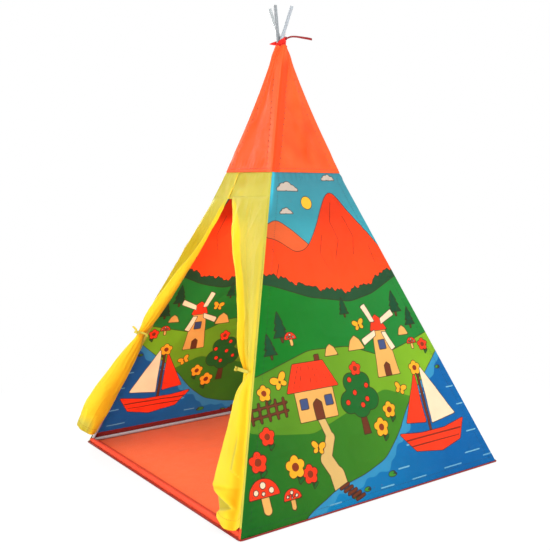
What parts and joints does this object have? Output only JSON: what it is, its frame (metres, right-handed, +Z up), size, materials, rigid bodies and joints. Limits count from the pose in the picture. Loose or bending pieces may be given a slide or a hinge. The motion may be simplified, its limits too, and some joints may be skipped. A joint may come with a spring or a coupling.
{
  "type": "kids teepee",
  "caption": "Free-standing square play tent: leaning jointed tubes crossed and tied at the top, cloth walls and floor, and an open front with tied-back curtains.",
  "frame": {"origin": "middle of the floor mat's underside, on the ground", "axes": "+Z up to the crossed poles, -Y out of the door, +X to the right of someone looking in at the door"},
  "size_m": [1.0343, 1.0374, 1.4768],
  "materials": {
    "tube_plastic": "smooth extruded white to light-grey plastic tube, slightly glossy",
    "joint_plastic": "moulded light-grey plastic",
    "orange_cloth": "plain orange woven polyester with stitched seams",
    "dark_red_cloth": "dark red woven edging",
    "yellow_cloth": "bright yellow thin woven polyester, slightly translucent",
    "printed_cloth": "woven polyester with an all-over printed landscape in blue, orange and greens",
    "red_ribbon": "flat woven red-orange ribbon"
  },
  "bodies": {
    "tent": {"pole_front_left_lower": "tube_plastic", "pole_front_left_middle": "tube_plastic", "pole_front_left_upper": "tube_plastic", "pole_front_right_lower": "tube_plastic", "pole_front_right_middle": "tube_plastic", "pole_front_right_upper": "tube_plastic", "pole_back_right_lower": "tube_plastic", "pole_back_right_middle": "tube_plastic", "pole_back_right_upper": "tube_plastic", "pole_back_left_lower": "tube_plastic", "pole_back_left_middle": "tube_plastic", "pole_back_left_upper": "tube_plastic", "pole_spigot_front_left_lower": "joint_plastic", "pole_spigot_front_left_upper": "joint_plastic", "pole_spigot_front_right_lower": "joint_plastic", "pole_spigot_front_right_upper": "joint_plastic", "pole_spigot_back_right_lower": "joint_plastic", "pole_spigot_back_right_upper": "joint_plastic", "pole_spigot_back_left_lower": "joint_plastic", "pole_spigot_back_left_upper": "joint_plastic", "corner_piece_front_left": "joint_plastic", "corner_piece_front_right": "joint_plastic", "corner_piece_back_right": "joint_plastic", "corner_piece_back_left": "joint_plastic", "base_rod_front": "tube_plastic", "base_rod_right": "tube_plastic", "base_rod_back": "tube_plastic", "base_rod_left": "tube_plastic", "floor_mat": "orange_cloth", "floor_front_hem": "orange_cloth", "floor_edge_right": "dark_red_cloth", "floor_edge_back": "dark_red_cloth", "floor_edge_left": "dark_red_cloth", "wall_right": "printed_cloth", "wall_back": "printed_cloth", "wall_left": "printed_cloth", "cap_front": "orange_cloth", "cap_right": "orange_cloth", "cap_back": "orange_cloth", "cap_left": "orange_cloth", "pole_sleeve_front_left": "orange_cloth", "pole_sleeve_front_right": "orange_cloth", "pole_sleeve_back_right": "orange_cloth", "pole_sleeve_back_left": "orange_cloth", "flap_top_left": "yellow_cloth", "flap_top_right": "yellow_cloth", "flap_seam_left": "yellow_cloth", "flap_seam_right": "yellow_cloth", "top_tie_wrap": "red_ribbon", "top_tie_knot": "red_ribbon", "top_tie_long_tail": "red_ribbon", "top_tie_short_tail": "red_ribbon"},
    "left_curtain": {"curtain_left": "yellow_cloth", "tie_band_left": "yellow_cloth", "tie_knot_left": "yellow_cloth", "tie_tail_left_outer": "yellow_cloth", "tie_tail_left_inner": "yellow_cloth"},
    "right_curtain": {"curtain_right": "yellow_cloth", "tie_band_right": "yellow_cloth", "tie_knot_right": "yellow_cloth"}
  },
  "joints": [
    {"name": "left_curtain_swing", "type": "hinge", "parent": "tent", "child": "left_curtain", "pos_m": [-0.4913, -0.4913, 0], "axis": [-0.3393, -0.3393, -0.8773], "range_deg": [-20, 30]},
    {"name": "right_curtain_swing", "type": "hinge", "parent": "tent", "child": "right_curtain", "pos_m": [0.4913, -0.4913, 0], "axis": [-0.3393, 0.3393, 0.8773], "range_deg": [-20, 30]}
  ]
}
